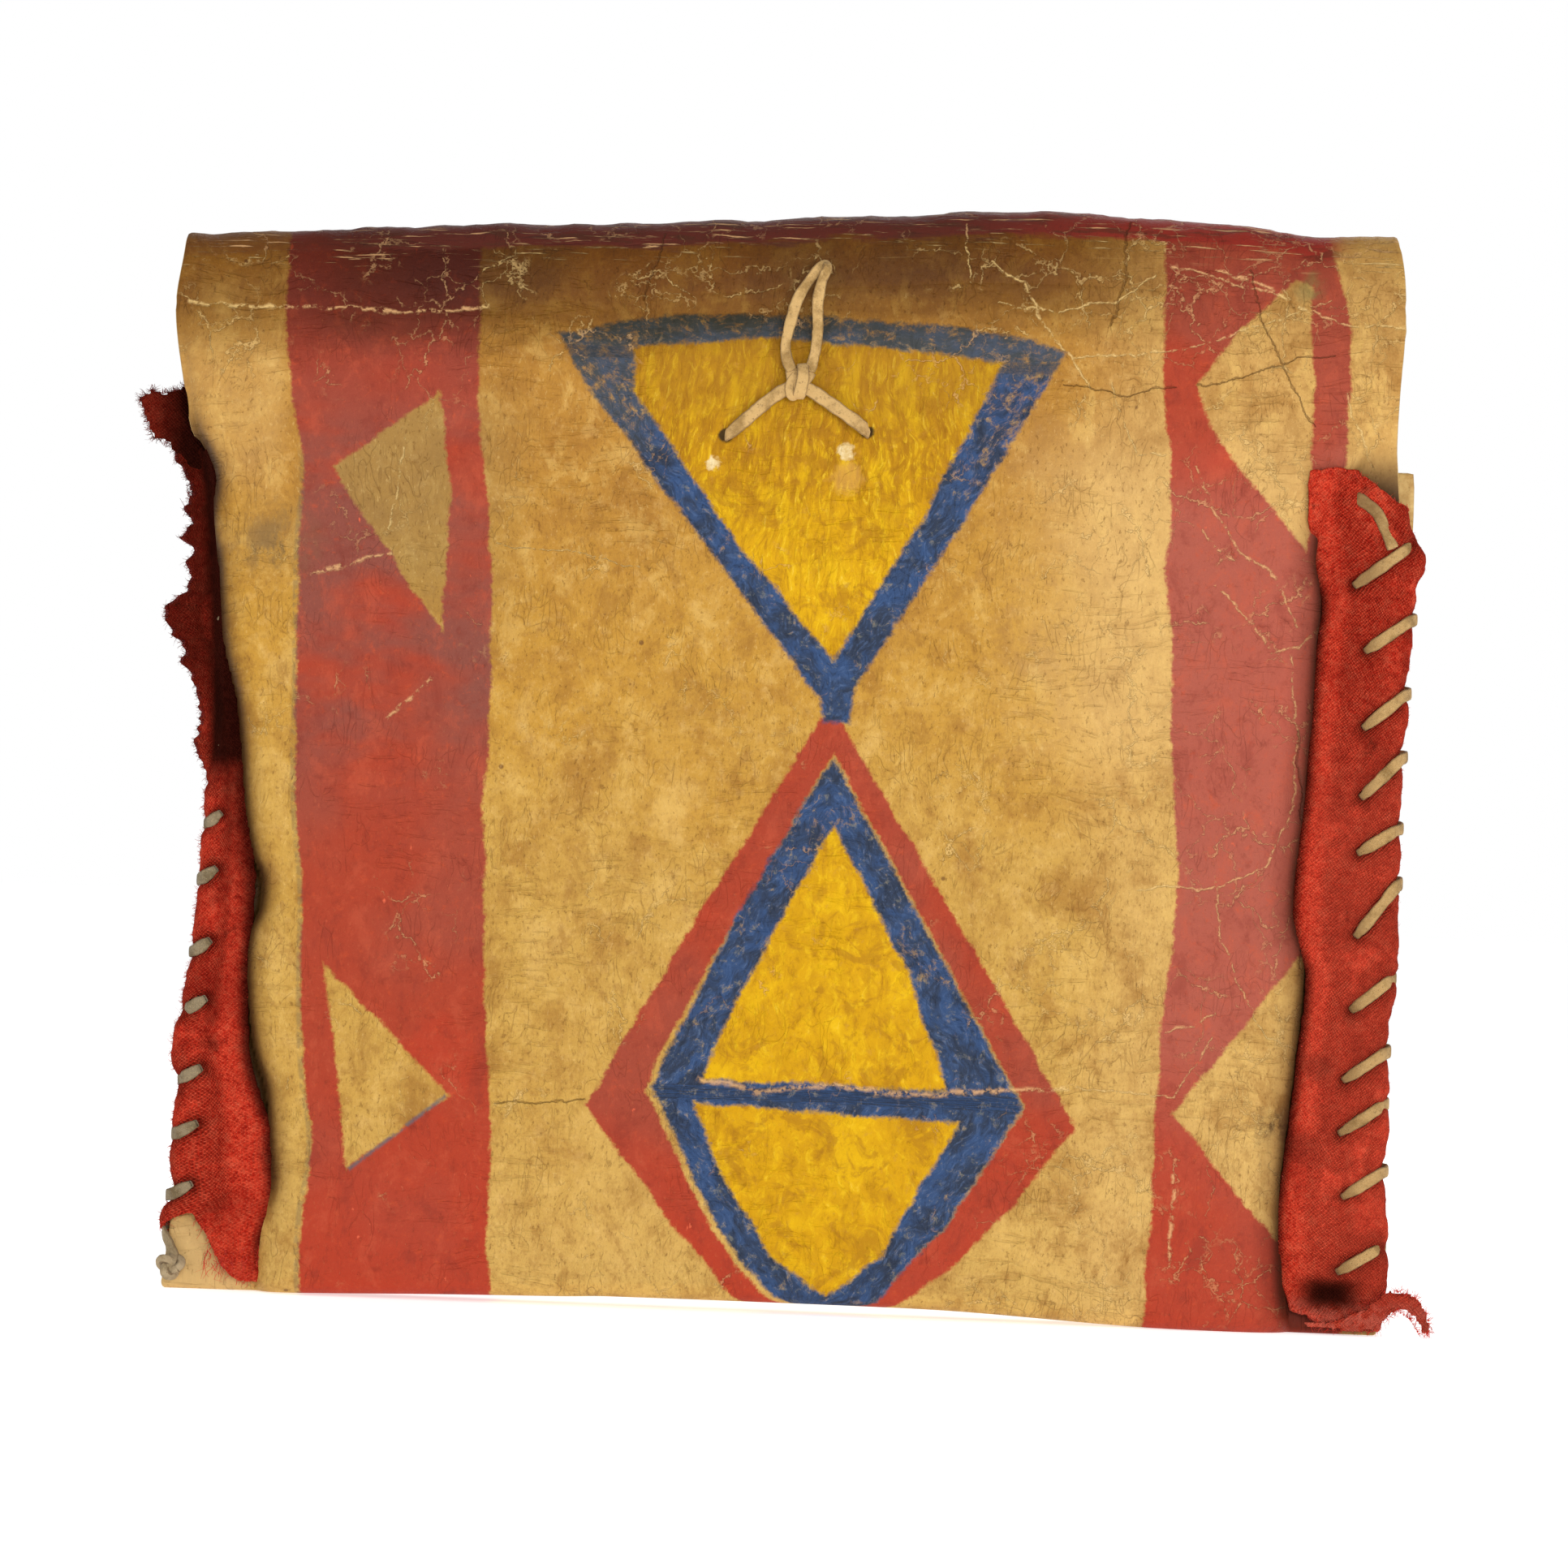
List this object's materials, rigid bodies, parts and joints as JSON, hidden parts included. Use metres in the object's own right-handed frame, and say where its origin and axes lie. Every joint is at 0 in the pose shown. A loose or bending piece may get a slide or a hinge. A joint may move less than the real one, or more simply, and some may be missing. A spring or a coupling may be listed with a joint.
{
  "type": "painted rawhide envelope case",
  "caption": "Flat rectangular envelope case of folded painted rawhide, side seams bound in red wool and laced with thong, a hinged flap behind the mouth and a tied loop on the front.",
  "frame": {"origin": "middle of the foot, on the plane that the bottom fold stands on", "axes": "+X along the case's width, -Y out of the painted front, +Z from the bottom fold up to the top fold"},
  "size_m": [0.3294, 0.031, 0.2735],
  "materials": {
    "rawhide": "hard, smooth, painted",
    "red_wool": "felted wool, matte",
    "buckskin": "suede, matte"
  },
  "bodies": {
    "case": {"pocket_hide": "rawhide", "left_cloth": "red_wool", "left_cloth_scrap": "red_wool", "right_cloth": "red_wool", "right_cloth_tail": "red_wool", "left_lacing": "buckskin", "left_lower_knot": "buckskin", "left_upper_knot": "buckskin", "right_lacing": "buckskin", "right_lower_knot": "buckskin", "tie_thong": "buckskin", "tie_knot": "buckskin"},
    "flap": {"flap_hide": "rawhide"},
    "loop": {"tie_loop": "buckskin"}
  },
  "joints": [
    {"name": "flap_lift", "type": "hinge", "parent": "case", "child": "flap", "pos_m": [0, 0.00175, 0.268], "axis": [0.9993, 0, 0.0384], "range_deg": [0, 130]},
    {"name": "loop_lift", "type": "hinge", "parent": "case", "child": "loop", "pos_m": [0, -0.0134, 0.2334], "axis": [1, 0, 0], "range_deg": [0, 120]}
  ]
}
